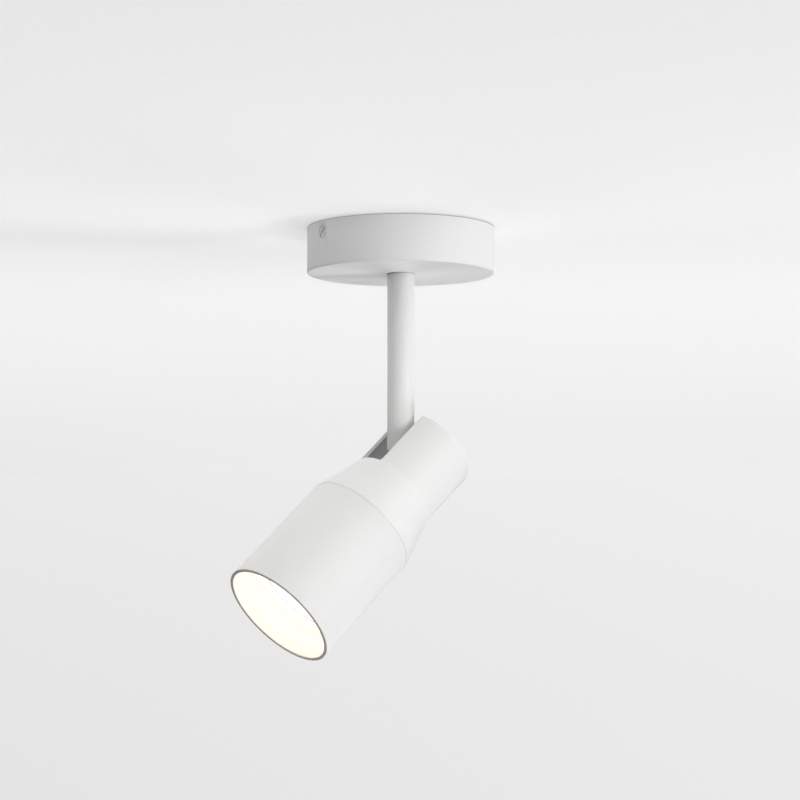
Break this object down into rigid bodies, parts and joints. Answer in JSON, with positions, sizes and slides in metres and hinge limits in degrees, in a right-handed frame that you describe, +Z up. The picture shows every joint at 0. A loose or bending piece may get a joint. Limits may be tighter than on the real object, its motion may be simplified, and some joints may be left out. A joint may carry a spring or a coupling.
{
  "type": "ceiling light",
  "caption": "Ceiling spotlight with a round canopy, a plain stem that swivels and a cylindrical head that tilts on a friction hinge inside its slotted neck.",
  "frame": {"origin": "centre of the mounting plate's ceiling face, on the swivel axis", "axes": "+Z up into the ceiling, the head aims towards -Y and down, the tilt axis lies along X"},
  "size_m": [0.1, 0.1472, 0.2295],
  "materials": {
    "white_powder_coat": "matt white powder coat",
    "zinc_plated_steel": "zinc plated",
    "nickel_plate": "nickel plated",
    "spring_steel": "dark spring steel",
    "die_cast_zinc": "die-cast, unpainted",
    "brass": "plain brass",
    "ivory_plastic": "satin",
    "white_sheath": "soft heat-resistant sheath",
    "brown_insulation": "satin",
    "fibre": "pressed fibre",
    "black_rubber": "matt",
    "ceramic": "unglazed steatite",
    "lamp_housing": "glossy white",
    "lamp_glow": "frosted, lit"
  },
  "bodies": {
    "ceiling_base": {"mounting_plate": "zinc_plated_steel", "canopy": "white_powder_coat", "canopy_screws": "white_powder_coat", "terminal_block": "ivory_plastic", "terminal_clamps": "brass", "terminal_screws": "zinc_plated_steel", "block_screws": "zinc_plated_steel", "earth_screw": "brass", "earth_washer": "brass", "swivel_bush": "brass", "bush_nuts": "zinc_plated_steel", "wave_washer": "spring_steel", "stop_post": "zinc_plated_steel", "canopy_cable": "white_sheath"},
    "stem": {"stem_tube": "white_powder_coat", "stem_collar": "zinc_plated_steel", "stop_pin": "spring_steel", "hinge_block": "die_cast_zinc", "stem_cable": "white_sheath"},
    "head": {"rear_housing": "white_powder_coat", "hinge_bracket": "zinc_plated_steel", "bracket_screws": "zinc_plated_steel", "pivot_bolt": "zinc_plated_steel", "pivot_nut": "zinc_plated_steel", "friction_washers": "fibre", "disc_springs": "spring_steel", "bulkhead": "zinc_plated_steel", "bulkhead_screws": "zinc_plated_steel", "cable_grommet": "black_rubber", "lampholder": "ceramic", "lampholder_screws": "zinc_plated_steel", "lampholder_contacts": "brass", "shade": "white_powder_coat", "lamp_body": "lamp_housing", "lamp_pins": "nickel_plate", "lamp_board": "lamp_glow", "lamp_lens": "lamp_glow", "flex_cable": "white_sheath", "holder_leads": "brown_insulation"}
  },
  "joints": [
    {"name": "swivel", "type": "hinge", "parent": "ceiling_base", "child": "stem", "pos_m": [0, 0, 0], "axis": [0, 0, 1], "range_deg": [-165, 165]},
    {"name": "tilt", "type": "hinge", "parent": "stem", "child": "head", "pos_m": [0, 0, -0.1364], "axis": [-1, 0, 0], "range_deg": [-47.3, 42.7], "deforming": ["flex_cable"]}
  ]
}
